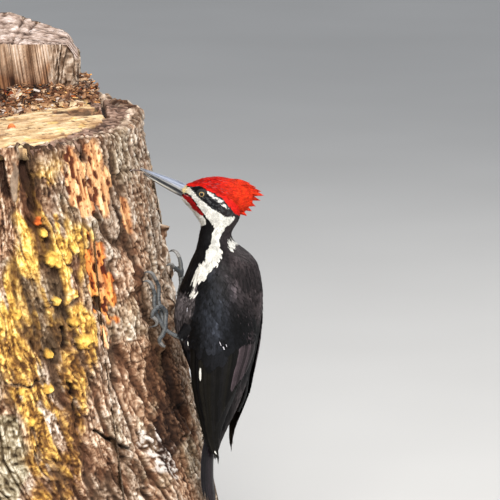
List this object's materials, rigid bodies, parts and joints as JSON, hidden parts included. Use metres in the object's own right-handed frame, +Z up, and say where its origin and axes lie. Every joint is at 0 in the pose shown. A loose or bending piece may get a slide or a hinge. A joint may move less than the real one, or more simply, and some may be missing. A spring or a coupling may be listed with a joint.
{
  "type": "pileated woodpecker",
  "caption": "Life-size still pileated woodpecker clinging upright to a cut length of tree trunk, on a plain round display stand.",
  "frame": {"origin": "centre of the stand base's underside, on the trunk's axis", "axes": "+Z up along the trunk; +X from the trunk's axis to the bird, whose belly faces -X and whose left side faces -Y"},
  "size_m": [0.5424, 0.4964, 0.6263],
  "materials": {
    "red_feather": "red crest feathers",
    "black_feather": "black feathers with white stripes",
    "upper_bill": "slate horn, soft gloss",
    "lower_bill": "pale horn, soft gloss",
    "eye": "wet gloss, yellow iris",
    "scaly_skin": "blue-grey scaled skin",
    "claw": "grey horn",
    "bark": "rough furrowed bark",
    "stand": "matt dark grey"
  },
  "bodies": {
    "root": {"bill_lower": "lower_bill", "bill_upper": "upper_bill", "body": "black_feather", "claw_left_1": "claw", "claw_left_2": "claw", "claw_left_3": "claw", "claw_left_4": "claw", "claw_right_1": "claw", "claw_right_2": "claw", "claw_right_3": "claw", "claw_right_4": "claw", "crest": "red_feather", "eye_left": "eye", "eye_right": "eye", "flight_left": "black_feather", "flight_right": "black_feather", "foot_left": "scaly_skin", "foot_right": "scaly_skin", "head": "black_feather", "neck": "black_feather", "perch_trunk": "bark", "stand_base": "stand", "stand_rod_1": "stand", "stand_rod_2": "stand", "tail": "black_feather", "tarsus_left": "scaly_skin", "tarsus_right": "scaly_skin", "thigh_left": "black_feather", "thigh_right": "black_feather", "wing_left": "black_feather", "wing_right": "black_feather"}
  },
  "joints": []
}
